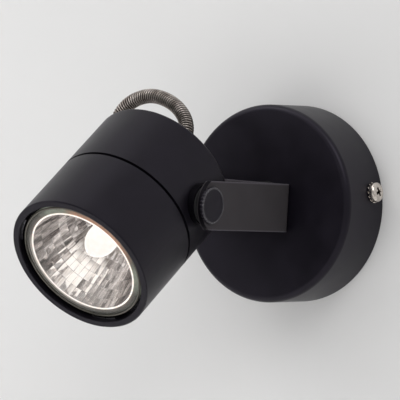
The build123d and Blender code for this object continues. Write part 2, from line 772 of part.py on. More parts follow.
add("rear_shell", head_frame, rear_shell())
add("front_ring", head_frame, front_ring())
add("rim_springs", head_frame, *rim_springs())
add("lamp_reflector", head_frame, lamp_reflector())
add("lamp_glass", head_frame, lamp_glass())
add("lamp_capsule", head_frame, lamp_capsule())
add("lamp_pins", head_frame, *lamp_pins())
add("lamp_holder", head_frame, lamp_holder())
add("holder_contacts", head_frame, *holder_contacts())
add("holder_bracket", head_frame, holder_bracket())
add("holder_rivets", head_frame, *holder_rivets())
add("hose_bush", head_frame, hose_bush())
add("pivot_saddle", Location(), pivot_saddle())
add("pivot_nut", Location(), pivot_nut())
add("pivot_stud", tilt_frame, pivot_stud())
add("pivot_knob", tilt_frame, pivot_knob())

os.makedirs("parts", exist_ok=True)
for name, shape in parts.items():
    export_step(shape, f"parts/{name}.step")

print("hose length", round(hose_line.length, 1), "radii", [round(r, 1) for r in radii])
hose_volume = parts["hose"].volume
slim, full = (round(hose_line.length * pi / 4 * (across ** 2 - hose_bore ** 2))
              for across in (hose_root, hose_diameter))
print("hose volume", round(hose_volume), "between", slim, "and", full)
print("tilt axis", [round(v, 3) for v in pivot], "beam", [round(v, 4) for v in beam])
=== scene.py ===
import bpy
import bmesh
import json
import math
import random
from mathutils import Matrix, Vector


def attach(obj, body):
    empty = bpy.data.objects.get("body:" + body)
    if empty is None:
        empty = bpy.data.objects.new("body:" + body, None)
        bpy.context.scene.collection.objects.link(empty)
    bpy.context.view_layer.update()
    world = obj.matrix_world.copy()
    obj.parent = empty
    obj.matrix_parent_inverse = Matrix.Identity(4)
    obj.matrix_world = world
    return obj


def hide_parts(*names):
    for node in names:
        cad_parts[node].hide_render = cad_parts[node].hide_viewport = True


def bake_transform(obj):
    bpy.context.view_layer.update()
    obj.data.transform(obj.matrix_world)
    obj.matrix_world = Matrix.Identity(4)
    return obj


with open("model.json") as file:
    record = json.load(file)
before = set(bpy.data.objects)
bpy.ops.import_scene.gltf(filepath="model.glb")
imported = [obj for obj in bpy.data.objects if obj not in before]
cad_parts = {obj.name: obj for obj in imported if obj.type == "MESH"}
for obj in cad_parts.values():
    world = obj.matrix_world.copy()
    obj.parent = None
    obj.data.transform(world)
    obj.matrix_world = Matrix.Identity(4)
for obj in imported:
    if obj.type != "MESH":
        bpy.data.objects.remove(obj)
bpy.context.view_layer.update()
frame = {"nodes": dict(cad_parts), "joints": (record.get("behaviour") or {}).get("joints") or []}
nodes = frame["nodes"]
scene = bpy.context.scene
mm = 0.001                      # sizes below are in millimetres, and pieces are scaled once, when placed
print("frame loaded:", len(nodes), "nodes")

# the wall light's own directions: the swivel axis, the tilt axis and the lamp's beam
joints = {j["name"]: j for j in frame["joints"]}
pivot = Vector(joints["head_tilt"]["pos_m"]) / mm
beam = Vector(joints["ring_twist"]["axis"])
cupTurn = math.radians(10.4)
across = Vector((1, 0, 0))
outwards = Vector((0, -1, 0))


def placement(origin, xAxis, zAxis):
    # millimetres about a piece's own axis to metres in the room
    x, z = Vector(xAxis).normalized(), Vector(zAxis).normalized()
    axes = Matrix((x, z.cross(x), z)).transposed().to_4x4()
    return Matrix.Scale(mm, 4) @ Matrix.Translation(origin) @ axes


onWall = placement((0, 0, 0), across, outwards)
onBase = placement((0, 0, 0), (math.cos(cupTurn), 0, math.sin(cupTurn)), outwards)
onHead = placement(pivot, across, beam)
onTilt = placement((0, pivot.y, 0), (0, 1, 0), across)


# ---- camera: fitted to the outlines of cup, arm and head ----
camera = {
    "place": (814.8, -1214.6, 56.4),
    "yaw": 35.357, "pitch": -2.245, "roll": 3.421,     # degrees
    "focal": 3818.8,            # pixels, in a picture 400 wide
    "picture": 400.0,
    "sensor": 36.0,
}


def addCamera(c):
    yaw, pitch, roll = (math.radians(c[k]) for k in ("yaw", "pitch", "roll"))
    ahead = Vector((-math.sin(yaw) * math.cos(pitch), math.cos(yaw) * math.cos(pitch), math.sin(pitch)))
    level = Vector((math.cos(yaw), math.sin(yaw), 0))
    above = level.cross(ahead)
    right = level * math.cos(roll) + above * math.sin(roll)
    up = above * math.cos(roll) - level * math.sin(roll)
    lens = bpy.data.cameras.new("photoCamera")
    lens.sensor_width = c["sensor"]
    lens.lens = c["focal"] / c["picture"] * c["sensor"]
    holder = bpy.data.objects.new("photoCamera", lens)
    holder.matrix_world = Matrix.Translation(Vector(c["place"]) * mm) @ Matrix((right, up, -ahead)).transposed().to_4x4()
    scene.collection.objects.link(holder)
    scene.camera = holder


addCamera(camera)
scene.view_settings.view_transform = "Standard"


# ---- shader maths and materials ----
class Wire:
    # one output socket; sums on it add Math nodes
    def __init__(self, finish, socket):
        self.finish = finish
        self.socket = socket

    def maths(self, operation, *values):
        return self.finish.node("Math", {"operation": operation}, dict(enumerate(values)))

    def __add__(self, other):
        return self.maths("ADD", self, other)

    def __radd__(self, other):
        return self.maths("ADD", other, self)

    def __sub__(self, other):
        return self.maths("SUBTRACT", self, other)

    def __rsub__(self, other):
        return self.maths("SUBTRACT", other, self)

    def __mul__(self, other):
        return self.maths("MULTIPLY", self, other)

    def __rmul__(self, other):
        return self.maths("MULTIPLY", other, self)

    def __pow__(self, other):
        return self.maths("POWER", self, other)

    def size(self):
        return self.maths("ABSOLUTE", self)


class Finish:
    # a material with the calls that build its nodes
    def __init__(self, name, **steady):
        self.material = bpy.data.materials.new(name)
        self.material.use_nodes = True
        self.tree = self.material.node_tree
        self.shader = self.tree.nodes["Principled BSDF"]
        for socket, value in steady.items():
            self.shader.inputs[socket.replace("_", " ")].default_value = value

    def node(self, kind, settings=None, inputs=None, output=0):
        made = self.tree.nodes.new("ShaderNode" + kind)
        for setting, value in (settings or {}).items():
            if setting == "stops":
                stops = made.color_ramp.elements
                while len(stops) < len(value):
                    stops.new(0.5)
                for stop, (place, colour) in zip(stops, value):
                    stop.position, stop.color = place, (*colour, 1)
            else:
                setattr(made, setting, value)
        for socket, value in (inputs or {}).items():
            self.join(value, made.inputs[socket])
        return Wire(self, made.outputs[output])

    def join(self, value, socket):
        if isinstance(value, Wire):
            self.tree.links.new(value.socket, socket)
        else:
            socket.default_value = value

    def set(self, socket, value):
        self.join(value, self.shader.inputs[socket])

    def place(self, scale=(1, 1, 1), turn=(0, 0, 0)):
        where = self.node("TexCoord", output="Object")
        return self.node("Mapping", inputs={"Vector": where, "Scale": scale, "Rotation": turn})

    def noise(self, size, detail=3.0, roughness=0.5, scale=(1, 1, 1), distortion=0.0):
        # size is that of one grain, in millimetres
        return self.node("TexNoise", inputs={
            "Vector": self.place(scale), "Scale": 1 / (size * mm), "Detail": detail,
            "Roughness": roughness, "Distortion": distortion})

    def cells(self, size, feature="F1", scale=(1, 1, 1), output="Distance"):
        return self.node("TexVoronoi", {"feature": feature}, {
            "Vector": self.place(scale), "Scale": 1 / (size * mm)}, output)

    def along(self, direction, origin):
        # distance from an origin along a direction, in millimetres
        where = self.node("VectorMath", {"operation": "SUBTRACT"}, {
            0: self.node("TexCoord", output="Object"), 1: Vector(origin) * mm})
        return self.node("VectorMath", {"operation": "DOT_PRODUCT"}, {0: where, 1: direction}, "Value") * (1 / mm)

    def spread(self, value, low, high, toLow=0.0, toHigh=1.0):
        return self.node("MapRange", {"clamp": True}, {
            "Value": value, "From Min": low, "From Max": high, "To Min": toLow, "To Max": toHigh})

    def blend(self, share, first, second):
        return self.node("Mix", {"data_type": "RGBA"}, {0: share, 6: first, 7: second}, 2)

    def bump(self, height, depth, strength=1.0):
        # depth is in millimetres
        bumped = self.node("Bump", inputs={"Height": height, "Distance": depth * mm, "Strength": strength})
        self.set("Normal", bumped)
        return bumped


def grey(level, warm=0.0):
    return (level * (1 + warm), level, level * (1 - warm), 1)


# matt and satin powder coat: a fine orange peel and a soft mottling
def powderCoat(name, tone, roughness, gloss, peel=0.0035, grain=0.42, tint=(1.1, 0.92, 1.5), mottle=0.22):
    coat = Finish(name, Specular_IOR_Level=gloss, Specular_Tint=(0.88, 0.81, 1.0, 1))
    dark = tuple(tone * (1 - mottle) * t for t in tint) + (1,)
    light = tuple(tone * (1 + mottle) * t for t in tint) + (1,)
    cloud = coat.noise(9.0, 4.0)
    speck = coat.noise(0.16, 2.0, 0.7)
    coat.set("Base Color", coat.blend(coat.spread(cloud + 0.35 * speck, 0.5, 0.86), dark, light))
    coat.set("Roughness", coat.spread(cloud + 0.5 * speck, 0.4, 1.05, roughness - 0.04, roughness + 0.05))
    coat.bump(coat.noise(grain, 2.5, 0.55) + 0.3 * speck, peel)
    return coat.material


# nickel or zinc plate over turned or pressed steel
def plating(name, light, dark, roughness, grain=(1, 1, 1), scratch=0.6, depth=0.002):
    plate = Finish(name, Metallic=1.0)
    cloud = plate.noise(3.5, 4.0, 0.6)
    brush = plate.noise(scratch, 3.0, 0.7, grain)
    plate.set("Base Color", plate.blend(plate.spread(cloud + 0.5 * brush, 0.5, 1.0), dark, light))
    plate.set("Roughness", plate.spread(brush + 0.6 * cloud, 0.5, 1.1, roughness - 0.06, roughness + 0.1))
    plate.bump(brush, depth)
    return plate.material


# moulded, pressed or fired stuff: a base tone with mottling and a fine skin
def moulded(name, colour, roughness, grain=0.5, depth=0.004, contrast=0.14, speckle=0.12, **steady):
    skin = Finish(name, **steady)
    cloud = skin.noise(6.0, 4.0)
    speck = skin.noise(grain, 3.0, 0.65)
    low = tuple(c * (1 - contrast) for c in colour) + (1,)
    high = tuple(min(1.0, c * (1 + contrast)) for c in colour) + (1,)
    skin.set("Base Color", skin.blend(skin.spread(cloud + speckle * 3 * speck, 0.45, 0.95), low, high))
    skin.set("Roughness", skin.spread(speck, 0.35, 0.65, roughness - 0.06, roughness + 0.06))
    skin.bump(speck, depth)
    return skin.material


cupCoat = powderCoat("cupCoat", 0.0045, 0.36, 0.26)
armCoat = powderCoat("armCoat", 0.046, 0.5, 0.08, peel=0.0025, tint=(1.03, 0.98, 1.1), mottle=0.06)
# a darker, less glossy copy of the head coat on the pivot saddle: painted shade for the dark gap between head and arm
saddleShadeCoat = powderCoat("saddleShadeCoat", 0.0015, 0.6, 0.06)
headCoat = powderCoat("headCoat", 0.0035, 0.38, 0.25)
knobCoat = powderCoat("knobCoat", 0.004, 0.3, 0.2, peel=0.001, grain=0.6)
zincPlate = plating("zincPlate", (0.64, 0.63, 0.6, 1), (0.42, 0.41, 0.4, 1), 0.34)
nickelPlate = plating("nickelPlate", (0.78, 0.73, 0.66, 1), (0.5, 0.45, 0.4, 1), 0.2, depth=0.001)
springSteel = plating("springSteel", (0.3, 0.3, 0.32, 1), (0.16, 0.15, 0.17, 1), 0.28)
turnedBrass = plating("turnedBrass", (0.75, 0.56, 0.28, 1), (0.5, 0.36, 0.17, 1), 0.25)
blackFibre = moulded("blackFibre", (0.006, 0.006, 0.007), 0.8, grain=0.25, depth=0.01)
rubber = moulded("grommetRubber", (0.018, 0.018, 0.018), 0.62)
blockPlastic = moulded("blockPlastic", (0.72, 0.71, 0.66), 0.42, contrast=0.05, Subsurface_Weight=0.05)
ceramic = moulded("firedCeramic", (0.62, 0.57, 0.48), 0.7, grain=0.3, depth=0.012, contrast=0.1)
leadSkin = moulded("leadSkin", (0.6, 0.6, 0.57), 0.45, contrast=0.06)
coreSkin = moulded("coreSkin", (0.3, 0.07, 0.04), 0.4, contrast=0.1)

coats = {
    cupCoat: ["wall_cup"],
    armCoat: ["bracket_arm"],
    headCoat: ["rear_shell", "front_ring", "hose_bush"],
    saddleShadeCoat: ["pivot_saddle"],
    knobCoat: ["pivot_knob"],
    zincPlate: ["wall_bracket", "swivel_nipple", "front_nut", "rear_nut", "rear_washer", "terminal_screws",
                "terminal_fixing_screw", "holder_bracket", "pivot_nut", "pivot_stud"],
    nickelPlate: ["holder_rivets", "lamp_pins"],
    springSteel: ["spring_washer", "rim_springs"],
    turnedBrass: ["terminal_clamps", "holder_contacts"],
    blackFibre: ["foot_washer", "tilt_washer"],
    rubber: ["cable_grommet"],
    blockPlastic: ["terminal_block"],
    ceramic: ["lamp_holder"],
}
for coat, names in coats.items():
    for name in names:
        nodes[name].data.materials.clear()
        nodes[name].data.materials.append(coat)
print("materials on the packed pieces")


# ---- making and placing pieces ----
def lathe(corners, steps, rounds=()):
    # closed outline of (radius, height) corners spun about z; rounds are (corner, radius, segments)
    bm = bmesh.new()
    verts = [bm.verts.new((radius, 0, height)) for radius, height in corners]
    edges = [bm.edges.new(pair) for pair in zip(verts, verts[1:] + verts[:1])]
    bmesh.ops.spin(bm, geom=verts + edges, cent=(0, 0, 0), axis=(0, 0, 1), angle=math.tau, steps=steps,
                   use_merge=True)
    bmesh.ops.remove_doubles(bm, verts=bm.verts, dist=1e-5)
    bmesh.ops.recalc_face_normals(bm, faces=bm.faces)
    for corner, size, segments in rounds:
        radius, height = corners[corner]
        ring = [e for e in bm.edges if all(
            abs(v.co.z - height) < 1e-4 and abs(v.co.xy.length - radius) < 1e-3 for v in e.verts)]
        bmesh.ops.bevel(bm, geom=ring, offset=size, segments=segments, profile=0.5, affect="EDGES",
                        offset_type="OFFSET", material=-1)
    return bm


def makePiece(name, bm, place, finish, body=None, standsFor=(), sharp=35.0):
    bmesh.ops.transform(bm, matrix=place, verts=bm.verts)
    mesh = bpy.data.meshes.new(name)
    bm.to_mesh(mesh)
    bm.free()
    mesh.materials.append(finish)
    mesh.shade_smooth()
    mesh.set_sharp_from_angle(angle=math.radians(sharp))
    piece = bpy.data.objects.new(name, mesh)
    scene.collection.objects.link(piece)
    if body:
        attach(piece, body)
    if standsFor:
        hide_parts(*standsFor)
    return piece


def smoothLine(points, place=Matrix.Scale(mm, 4)):
    # points read from a NURBS spline with these control points, in metres
    line = bpy.data.curves.new("route", "CURVE")
    line.dimensions = "3D"
    line.resolution_u = 32
    spline = line.splines.new("NURBS")
    spline.points.add(len(points) - 1)
    for control, point in zip(spline.points, points):
        control.co = (*(place @ Vector(point)), 1)
    spline.order_u = 3
    spline.use_endpoint_u = True
    holder = bpy.data.objects.new("route", line)
    scene.collection.objects.link(holder)
    bpy.context.view_layer.update()
    read = bpy.data.meshes.new_from_object(holder)
    found = [v.co.copy() for v in read.vertices]
    bpy.data.objects.remove(holder)
    bpy.data.meshes.remove(read)
    return found


def stations(line, spacing):
    # evenly spaced frames along a line of points: place, and a ring plane that never twists
    runs = [(b - a).length for a, b in zip(line, line[1:])]
    total = sum(runs)
    count = round(total / spacing)
    frames = []
    at, passed = 0, 0.0
    side = None
    for i in range(count + 1):
        target = total * i / count
        while at < len(runs) - 1 and passed + runs[at] < target:
            passed += runs[at]
            at += 1
        share = min(1.0, (target - passed) / runs[at])
        here = line[at].lerp(line[at + 1], share)
        before = (line[at] - line[max(0, at - 1)]).normalized() if at else None
        run = (line[at + 1] - line[at]).normalized()
        following = (line[min(at + 2, len(line) - 1)] - line[at + 1])
        along = run
        if share > 0.5 and following.length > 0:
            along = run.lerp(following.normalized(), (share - 0.5)).normalized()
        elif share < 0.5 and before is not None:
            along = run.lerp(before, 0.5 - share).normalized()
        if side is None:
            side = along.orthogonal().normalized()
        side = (side - along * side.dot(along)).normalized()
        rows = Matrix((side, along.cross(side), along)).transposed().to_4x4()
        frames.append((target, Matrix.Translation(here) @ rows))
    return total, frames


def tubeAlong(frames, sides, radiusAt):
    # a flat sheet rolled up round the line; radiusAt(distance, share of a turn) gives radius and ridge
    bm = bmesh.new()
    ridge = bm.verts.layers.float.new("ridge")
    bmesh.ops.create_grid(bm, x_segments=len(frames) - 1, y_segments=sides, size=0.5)
    for v in bm.verts:
        distance, here = frames[round((v.co.x + 0.5) * (len(frames) - 1))]
        turn = v.co.y + 0.5
        radius, v[ridge] = radiusAt(distance, turn)
        v.co = here @ Vector((radius * math.cos(math.tau * turn), radius * math.sin(math.tau * turn), 0))
    bmesh.ops.remove_doubles(bm, verts=bm.verts, dist=1e-6)
    bmesh.ops.edgeloop_fill(bm, edges=[e for e in bm.edges if e.is_boundary])
    bmesh.ops.recalc_face_normals(bm, faces=bm.faces)
    return bm


# ---- cup screws: cross-head pan screws, each on a washer with twisted teeth ----
screwSize = {
    "offWall": 6.4, "seat": 38.2, "top": 40.34, "length": 7.0,      # seat and top from the cup's middle
    "head": 7.4, "round": 1.15, "thread": 4.0,
    "cross": 3.6, "slot": 1.1, "floor": 0.55, "deep": 1.3, "turned": 24.0,
    "teeth": 13, "toothLong": 1.1, "toothWide": 0.95, "toothSheet": 0.32, "twist": 28.0,
    "washerBore": 2.1, "washerRing": 3.05, "washer": 3.95, "washerLow": 37.56,
}


def screwNickel():
    # worn nickel, dark down in the cross recess
    metal = Finish("screwNickel", Metallic=1.0)
    hollow = metal.node("Attribute", {"attribute_name": "hollow"}, output="Fac")
    cloud, brush = metal.noise(1.6, 4.0, 0.6), metal.noise(0.4, 3.0, 0.7)
    plate = metal.blend(metal.spread(cloud + 0.5 * brush, 0.5, 1.0), (0.5, 0.45, 0.41, 1), (0.8, 0.74, 0.68, 1))
    metal.set("Base Color", metal.blend(metal.spread(hollow, 0.0, 0.5), plate, (0.03, 0.025, 0.02, 1)))
    metal.set("Roughness", metal.spread(brush + 0.6 * cloud, 0.5, 1.1, 0.14, 0.3))
    metal.bump(brush, 0.0015)
    return metal.material


def crossOutline(s, scale):
    arm, half = s["cross"] / 2 * scale, s["slot"] / 2 * scale
    quarter = [(arm, -half), (arm, half), (half, half)]
    corners = []
    for turn in range(4):
        for x, y in quarter:
            spun = Matrix.Rotation(math.radians(s["turned"] + 90 * turn), 2) @ Vector((x, y))
            corners.append(spun)
    return corners


def addScrew(s, name, place, finish):
    # the head's side, and a flat top with the cross cut into it
    radius, flat = s["head"] / 2, s["head"] / 2 - s["round"]
    bow = [(flat + s["round"] * math.sin(turn), s["top"] - s["round"] * (1 - math.cos(turn)))
           for turn in (math.pi / 2 * i / 6 for i in range(7))]
    shank = s["thread"] / 2
    tip = s["seat"] - s["length"]
    side = bow + [(radius, s["seat"]), (shank, s["seat"]), (shank, tip + 0.5), (shank - 0.5, tip), (0, tip)]
    bm = bmesh.new()
    hollow = bm.verts.layers.float.new("hollow")
    verts = [bm.verts.new((r, 0, height)) for r, height in side]
    edges = [bm.edges.new(pair) for pair in zip(verts, verts[1:])]
    bmesh.ops.spin(bm, geom=verts + edges, cent=(0, 0, 0), axis=(0, 0, 1), angle=math.tau, steps=64, use_merge=True)
    bmesh.ops.remove_doubles(bm, verts=bm.verts, dist=1e-5)
    rim = [e for e in bm.edges if e.is_boundary]
    corners = [bm.verts.new((*corner, s["top"])) for corner in crossOutline(s, 1.0)]
    mouth = [bm.edges.new(pair) for pair in zip(corners, corners[1:] + corners[:1])]
    bmesh.ops.triangle_fill(bm, use_beauty=True, edges=rim + mouth)
    walls = bmesh.ops.extrude_edge_only(bm, edges=mouth)["geom"]
    low = [part for part in walls if isinstance(part, bmesh.types.BMVert)]
    for v in low:
        v.co = Vector((*(v.co.xy * s["floor"]), s["top"] - s["deep"]))
        v[hollow] = 1.0
    bmesh.ops.edgeloop_fill(bm, edges=[part for part in walls if isinstance(part, bmesh.types.BMEdge)
                                       and all(v in low for v in part.verts)])
    bmesh.ops.recalc_face_normals(bm, faces=bm.faces)
    makePiece(name, bm, place, finish, "base", ["cup_screws"], sharp=25)


def addToothedWasher(s, name, place, finish):
    sheet = s["toothSheet"]
    low = s["washerLow"] + 0.12
    bm = lathe([(s["washerBore"], low), (s["washerRing"], low), (s["washerRing"], low + sheet),
                (s["washerBore"], low + sheet)], 78, [(1, 0.08, 2), (2, 0.08, 2)])
    for i in range(s["teeth"]):
        tooth = Matrix.Rotation(math.tau * i / s["teeth"], 4, "Z")
        tooth @= Matrix.Translation((s["washer"] - s["toothLong"] / 2, 0, low + sheet / 2))
        tooth @= Matrix.Rotation(math.radians(s["twist"]), 4, "X")
        tooth @= Matrix.Diagonal((s["toothLong"], s["toothWide"], sheet, 1))
        made = bmesh.ops.create_cube(bm, size=1.0, matrix=tooth)
        bmesh.ops.bevel(bm, geom=list({e for v in made["verts"] for e in v.link_edges}), offset=0.09, segments=2,
                        profile=0.5, affect="EDGES", material=-1)
    makePiece(name, bm, place, finish, "base", ["cup_screw_washers"], sharp=40)


def addCupScrews(s):
    finish = screwNickel()
    for side, label in ((1, "right"), (-1, "left")):
        outTo = Vector((math.cos(cupTurn), 0, math.sin(cupTurn))) * side
        place = placement(outwards * s["offWall"], outwards, outTo)
        addScrew(s, "cup_screw_" + label, place, finish)
        addToothedWasher(s, "toothed_washer_" + label, place, finish)


addCupScrews(screwSize)
print("cup screws built")


# ---- arm: a flat bar bent once, its side leg cut to a shallow curve past the knob ----
armSize = {
    "width": 18.0, "thickness": 2.0, "edge": 0.4,
    "footMiddle": -25.0, "legMiddle": 10.75,    # middle of the sheet, off the wall and to the side
    "bend": 1.25,                               # radius in the middle of the sheet
    "sag": 1.0,                                 # the foot sits this much lower than the knob
    "tail": -30.5, "tailRound": 9.0,
    "tip": -81.6, "tipRound": 10.6,
    "steps": 180, "rows": 40,
}


def barCoat(a):
    # painted highlight: the coat is painted lighter along the cut edges; painted shadow: the cut end past the knob is
    # painted near black
    leg = a["footMiddle"] - a["bend"] - a["tip"]
    coat = Finish("barCoat", Specular_IOR_Level=0.08, Specular_Tint=(0.88, 0.81, 1.0, 1))
    past = coat.along(outwards, (0, a["tip"], 0))
    high = coat.along((0, 0, 1), (0, 0, 0))
    wide = (high - past * (a["sag"] / leg)).size()
    reach = ((past + a["tipRound"]) * (past + a["tipRound"]) + wide * wide) ** 0.5
    # painted shadow: mask of the cut end past the knob, which the base colour paints near black
    paintedTipShadow = coat.spread(reach, a["tipRound"] - 0.3, a["tipRound"] - 0.12) * coat.spread(past, -7.0, -6.5)
    inner = coat.spread(coat.along(across, (a["legMiddle"] - a["thickness"] / 2, 0, 0)), 0.25, 0.5)
    cloud = coat.noise(9.0, 4.0)
    speck = coat.noise(0.16, 2.0, 0.7)
    face = coat.blend(coat.spread(cloud + 0.35 * speck, 0.5, 0.86), (0.043, 0.0395, 0.042, 1), (0.048, 0.044, 0.047, 1))
    # painted highlight: the coat is painted lighter along the top and bottom edges
    withPaintedEdgeHighlight = coat.blend(coat.spread(wide, a["width"] / 2 - 0.5, a["width"] / 2 - 0.25), face, (0.085, 0.078, 0.09, 1))
    coat.set("Base Color", coat.blend(paintedTipShadow * inner, withPaintedEdgeHighlight, (0.0025, 0.002, 0.003, 1)))
    coat.set("Roughness", coat.spread(cloud + 0.5 * speck, 0.4, 1.05, 0.46, 0.55))
    coat.bump(coat.noise(0.42, 2.5, 0.55) + 0.3 * speck, 0.0025)
    return coat.material


def addArm(a):
    # the bar's outline is drawn flat on a grid, then laid along foot, bend and leg
    foot = a["legMiddle"] - a["bend"] - a["tail"]
    curve = math.pi / 2 * a["bend"]
    leg = a["footMiddle"] - a["bend"] - a["tip"]
    bm = bmesh.new()
    bmesh.ops.create_grid(bm, x_segments=a["steps"], y_segments=a["rows"], size=0.5)
    for v in bm.verts:
        z = a["width"] / 2 * math.sin(math.pi * v.co.y)
        start = a["tailRound"] - math.sqrt(max(0.0, a["tailRound"] ** 2 - z * z))
        end = foot + curve + leg - a["tipRound"] + math.sqrt(a["tipRound"] ** 2 - z * z)
        run = start + (end - start) * (v.co.x + 0.5)
        turn = min(max(run - foot, 0.0) / a["bend"], math.pi / 2)
        x = a["tail"] + min(run, foot) + a["bend"] * math.sin(turn)
        y = a["footMiddle"] - a["bend"] * (1 - math.cos(turn)) - max(0.0, run - foot - curve)
        v.co = (x, y, z - a["sag"] * min(1.0, 1 - (run - foot - curve) / leg))
    bmesh.ops.recalc_face_normals(bm, faces=bm.faces)
    arm = makePiece("bracket_bar", bm, Matrix.Scale(mm, 4), barCoat(a), "arm", ["bracket_arm"], sharp=40)
    sheet = arm.modifiers.new("sheet", "SOLIDIFY")
    sheet.thickness, sheet.offset = a["thickness"] * mm, 0.0
    rounded = arm.modifiers.new("edges", "BEVEL")
    rounded.width, rounded.segments, rounded.angle_limit = a["edge"] * mm, 3, math.radians(50)


addArm(armSize)


# ---- knob: low round cap with a raised rim, its side fluted for the fingers ----
knobSize = {
    "radius": 6.9, "base": 11.8, "height": 1.3, "round": 0.7,
    "rim": 0.9, "dish": 0.15,
    "flutes": 30, "fluteDepth": 0.28, "stepsPerFlute": 8,
}


def capCoat(k):
    # satin face, its raised rim painted brighter as a painted highlight
    coat = Finish("capCoat", Specular_IOR_Level=0.25, Specular_Tint=(0.88, 0.81, 1.0, 1), Coat_Roughness=0.16)
    y, z = coat.along(outwards, (0, pivot.y, 0)), coat.along((0, 0, 1), (0, 0, 0))
    above = coat.along(across, (k["base"], 0, 0))
    rimHighlight = coat.spread((y * y + z * z) ** 0.5, k["radius"] - 1.1, k["radius"] - 0.7) * coat.spread(above, 0.75, 1.05)
    cloud = coat.noise(3.0, 3.0)
    face = coat.blend(coat.spread(cloud, 0.35, 0.65), (0.0035, 0.003, 0.005, 1), (0.0055, 0.0045, 0.007, 1))
    # painted highlight: the rim is painted lighter than the face
    coat.set("Base Color", coat.blend(rimHighlight * coat.spread(cloud, 0.3, 0.7, 0.5, 1.0), face, (0.03, 0.028, 0.033, 1)))
    coat.set("Roughness", coat.spread(cloud, 0.3, 0.7, 0.4, 0.48))
    coat.set("Coat Weight", rimHighlight * 0.7)
    coat.bump(coat.noise(0.6, 2.5), 0.001)
    return coat.material


def addKnob(k):
    top = k["base"] + k["height"]
    knob = lathe([(0, k["base"]), (k["radius"], k["base"]), (k["radius"], top), (k["radius"] - k["rim"], top),
                  (k["radius"] - 2 * k["rim"], top - k["dish"]), (0, top - k["dish"])],
                 k["flutes"] * k["stepsPerFlute"], [(2, k["round"], 5), (3, k["round"], 3)])
    for v in knob.verts:
        reach = v.co.xy.length
        if reach > k["radius"] - 0.6 * k["round"]:
            wave = 0.5 - 0.5 * math.cos(k["flutes"] * math.atan2(v.co.y, v.co.x))
            v.co.xy *= 1 - k["fluteDepth"] * wave / reach
    makePiece("pivot_knob_cap", knob, onTilt, capCoat(k), "knob", ["pivot_knob"], sharp=30)


addKnob(knobSize)
print("arm and knob built")


# ---- hose: a metal strip wound into a fine-ribbed tube ----
hoseSize = {
    "crest": 2.8, "root": 2.2,          # radii
    "pitch": 1.05, "strip": 0.64,       # share of the pitch that the rounded strip takes
    "ringsPerTurn": 10, "sides": 32,
    "grip": 4.0,                        # plain ends inside nipple and bush
}
hoseRoute = [
    (0.0, -27.5, 0.0), (0.0, -40.0, 0.0), (-6.5, -45.5, 0.0), (-18.5, -46.5, 0.0), (-33.0, -45.0, 1.0),
    (-46.5, -42.5, 5.0), (-56.5, -40.5, 13.5), (-61.5, -39.5, 25.0), (-57.0, -39.0, 34.0),
    (-45.5, -39.0, 38.7), (-32.5, -40.5, 35.8), (-23.5, -43.5, 28.5), (-21.45, -49.2, 19.4),
    (-21.45, -59.72, 11.76),
]


def hoseMetal():
    metal = Finish("hoseNickel", Metallic=1.0)
    ridge = metal.node("Attribute", {"attribute_name": "ridge"}, output="Fac")
    cloud = metal.noise(4.0, 3.0)
    crest = metal.blend(metal.spread(cloud, 0.36, 0.64), (0.22, 0.19, 0.17, 1), (0.54, 0.49, 0.455, 1))
    # painted shade: the grooves between the ribs are painted near black
    metal.set("Base Color", metal.blend(metal.spread(ridge, 0.3, 0.8), (0.012, 0.009, 0.008, 1), crest))
    metal.set("Roughness", metal.spread(ridge + 0.3 * cloud, 0.2, 1.2, 0.45, 0.2))
    metal.bump(metal.noise(0.12, 2.0), 0.001)
    return metal.material


def addHose(h):
    line = smoothLine(hoseRoute)
    spacing = h["pitch"] * mm / h["ringsPerTurn"]
    total, frames = stations(line, spacing)

    def strip(distance, turn):
        # half-round ribs that climb once round the hose for each pitch
        inside = min(distance, total - distance) < h["grip"] * mm
        share = (distance / (h["pitch"] * mm) + turn) % 1.0
        height = 0.0 if inside else math.sqrt(max(0.0, 1 - ((2 * share - 1) / h["strip"]) ** 2))
        return (h["root"] + (h["crest"] - h["root"]) * height) * mm, height

    bm = tubeAlong(frames, h["sides"], strip)
    hose = makePiece("hose_ribbed", bm, Matrix.Identity(4), hoseMetal(), standsFor=["hose"], sharp=180)
    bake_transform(hose)
    print("hose", round(total / mm, 1), "mm,", len(frames), "rings")


addHose(hoseSize)


# ---- leads: round silicone sheaths, the thin cores at the terminals ----
leadSize = {"diameter": 3.2, "core": 1.3, "spacing": 0.6, "sides": 24}
lampLeadRoute = [(0.0, -14.4, 0.0)] + hoseRoute[1:-1] + [(-21.45, -64.2, 8.5)]
supplyRoute = [(0, 0, 14.4), (0, 0, 9.5), (0, -1.2, 6.6), (0, -6.0, 6.6)]
coreRoute = [(0.8, -5.6, 6.6), (0.8, -7.1, 6.6), (3.75, -10.4, 6.6), (3.75, -15.5, 6.6)]


def addLead(name, route, place, diameter, finish, body, standsFor):
    total, frames = stations(smoothLine(route, place), leadSize["spacing"] * mm)
    bm = tubeAlong(frames, leadSize["sides"], lambda distance, turn: (diameter / 2 * mm, 1.0))
    return makePiece(name, bm, Matrix.Identity(4), finish, body, standsFor, sharp=60)


lampLead = addLead("lamp_lead_sheath", lampLeadRoute, Matrix.Scale(mm, 4), leadSize["diameter"], leadSkin,
                   None, ["lamp_lead"])
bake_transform(lampLead)
addLead("supply_sheath", supplyRoute, onBase, leadSize["diameter"], leadSkin, "base", ["supply_lead"])
for side, label in ((-1, "left"), (1, "right")):
    mirrored = [(side * x, y, z) for x, y, z in coreRoute]
    addLead("core_" + label, mirrored, onBase, leadSize["core"], coreSkin, "base", ["lead_cores"])


